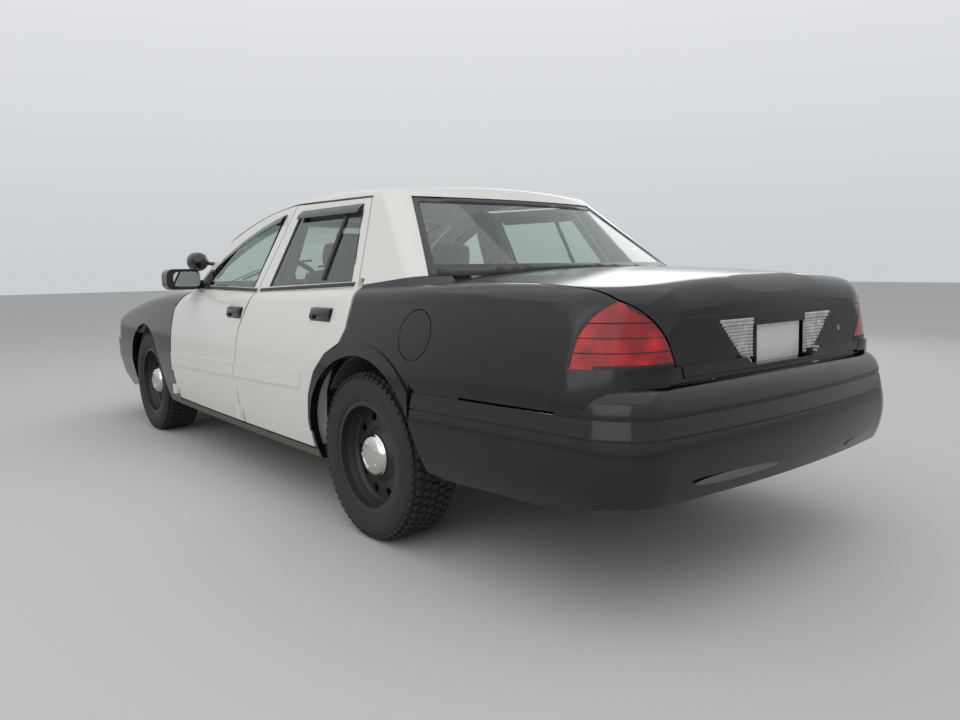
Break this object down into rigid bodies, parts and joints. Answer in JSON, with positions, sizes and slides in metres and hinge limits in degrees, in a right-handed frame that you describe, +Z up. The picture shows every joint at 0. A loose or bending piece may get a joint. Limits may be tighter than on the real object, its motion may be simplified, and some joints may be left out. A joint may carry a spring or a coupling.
{
  "type": "police patrol car",
  "caption": "Full-size patrol sedan on a separate frame, with steered front wheels, spinning wheels, opening doors, hood, trunk lid and fuel door.",
  "frame": {"origin": "on the ground below the middle of the car", "axes": "+X forward, +Y to the driver's left, +Z up"},
  "size_m": [5.3849, 2.22, 1.5059],
  "materials": {
    "black_paint": "gloss",
    "white_paint": "gloss",
    "glass_tint": "gloss",
    "rim_paint": "satin",
    "tyre": "matt",
    "chassis_steel": "satin",
    "axle_iron": "rough",
    "floor_metal": "satin",
    "trim_plastic": "matt",
    "mirror_plastic": "satin",
    "lamp_red": "gloss",
    "lamp_clear": "gloss",
    "seat_fabric": "matt",
    "exhaust_steel": "rough"
  },
  "bodies": {
    "body": {"cowl": "black_paint", "crossmembers": "chassis_steel", "dashboard": "trim_plastic", "door_posts": "floor_metal", "driveshaft": "axle_iron", "engine_block": "axle_iron", "exhaust": "exhaust_steel", "floor_pan": "floor_metal", "frame_rail_left": "chassis_steel", "frame_rail_right": "chassis_steel", "front_arms": "chassis_steel", "front_bumper": "black_paint", "front_fenders": "black_paint", "front_seats": "seat_fabric", "front_wheelhouses": "floor_metal", "grille": "trim_plastic", "headlamps": "lamp_clear", "quarter_panels": "black_paint", "radiator_support": "chassis_steel", "rear_axle": "axle_iron", "rear_bumper": "black_paint", "rear_deck": "black_paint", "rear_panel": "black_paint", "rear_seat": "seat_fabric", "rear_wheelhouses": "floor_metal", "rear_window": "glass_tint", "rockers": "floor_metal", "roof": "white_paint", "spotlight": "mirror_plastic", "steering_column": "trim_plastic", "tail_lamps": "lamp_red", "trunk_gutter": "floor_metal", "windshield": "glass_tint"},
    "front_door_left": {"front_door_left": "white_paint", "front_glass_left": "glass_tint", "mirror_left": "mirror_plastic"},
    "rear_door_left": {"rear_door_left": "white_paint", "rear_glass_left": "glass_tint"},
    "knuckle_left": {"knuckle_left": "axle_iron"},
    "front_wheel_left": {"front_wheel_left": "rim_paint", "front_tyre_left": "tyre"},
    "rear_wheel_left": {"rear_wheel_left": "rim_paint", "rear_tyre_left": "tyre"},
    "front_door_right": {"front_door_right": "white_paint", "front_glass_right": "glass_tint", "mirror_right": "mirror_plastic"},
    "rear_door_right": {"rear_door_right": "white_paint", "rear_glass_right": "glass_tint"},
    "knuckle_right": {"knuckle_right": "axle_iron"},
    "front_wheel_right": {"front_wheel_right": "rim_paint", "front_tyre_right": "tyre"},
    "rear_wheel_right": {"rear_wheel_right": "rim_paint", "rear_tyre_right": "tyre"},
    "hood": {"hood": "black_paint"},
    "trunk_lid": {"trunk_lid": "black_paint", "reverse_lamps": "lamp_clear"},
    "fuel_door": {"fuel_door": "black_paint"},
    "steering_wheel": {"steering_wheel": "trim_plastic"}
  },
  "joints": [
    {"name": "steer_left", "type": "hinge", "parent": "body", "child": "knuckle_left", "pos_m": [1.5805, 0.715, 0.345], "axis": [0, 0, 1], "range_deg": [-33, 33]},
    {"name": "front_wheel_left_spin", "type": "hinge", "parent": "knuckle_left", "child": "front_wheel_left", "pos_m": [1.5805, 0.805, 0.345], "axis": [0, 1, 0], "continuous": true},
    {"name": "rear_wheel_left_spin", "type": "hinge", "parent": "body", "child": "rear_wheel_left", "pos_m": [-1.3325, 0.833, 0.345], "axis": [0, 1, 0], "continuous": true},
    {"name": "front_door_left_hinge", "type": "hinge", "parent": "body", "child": "front_door_left", "pos_m": [0.9455, 0.9685, 0.6], "axis": [0, 0, -1], "range_deg": [0, 68]},
    {"name": "rear_door_left_hinge", "type": "hinge", "parent": "body", "child": "rear_door_left", "pos_m": [-0.1085, 0.9815, 0.6], "axis": [0, 0, -1], "range_deg": [0, 68]},
    {"name": "steer_right", "type": "hinge", "parent": "body", "child": "knuckle_right", "pos_m": [1.5805, -0.715, 0.345], "axis": [0, 0, 1], "range_deg": [-33, 33]},
    {"name": "front_wheel_right_spin", "type": "hinge", "parent": "knuckle_right", "child": "front_wheel_right", "pos_m": [1.5805, -0.805, 0.345], "axis": [0, 1, 0], "continuous": true},
    {"name": "rear_wheel_right_spin", "type": "hinge", "parent": "body", "child": "rear_wheel_right", "pos_m": [-1.3325, -0.833, 0.345], "axis": [0, 1, 0], "continuous": true},
    {"name": "front_door_right_hinge", "type": "hinge", "parent": "body", "child": "front_door_right", "pos_m": [0.9455, -0.9685, 0.6], "axis": [0, 0, 1], "range_deg": [0, 68]},
    {"name": "rear_door_right_hinge", "type": "hinge", "parent": "body", "child": "rear_door_right", "pos_m": [-0.1085, -0.9815, 0.6], "axis": [0, 0, 1], "range_deg": [0, 68]},
    {"name": "hood_hinge", "type": "hinge", "parent": "body", "child": "hood", "pos_m": [0.9465, 0, 0.992], "axis": [0, -1, 0], "range_deg": [0, 50]},
    {"name": "trunk_lid_hinge", "type": "hinge", "parent": "body", "child": "trunk_lid", "pos_m": [-1.8465, 0, 1.098], "axis": [0, 1, 0], "range_deg": [0, 75]},
    {"name": "fuel_door_hinge", "type": "hinge", "parent": "body", "child": "fuel_door", "pos_m": [-1.592, 0.933, 0.864], "axis": [0, 0.2696, -0.963], "range_deg": [0, 95]},
    {"name": "steering_wheel_turn", "type": "hinge", "parent": "body", "child": "steering_wheel", "pos_m": [0.4, 0.37, 0.985], "axis": [-0.9063, 0, 0.4226], "range_deg": [-570, 570]}
  ],
  "couplings": [
    {"joint": "steer_right", "follows": "steer_left", "ratio": 1},
    {"joint": "steering_wheel_turn", "follows": "steer_left", "ratio": 17}
  ]
}
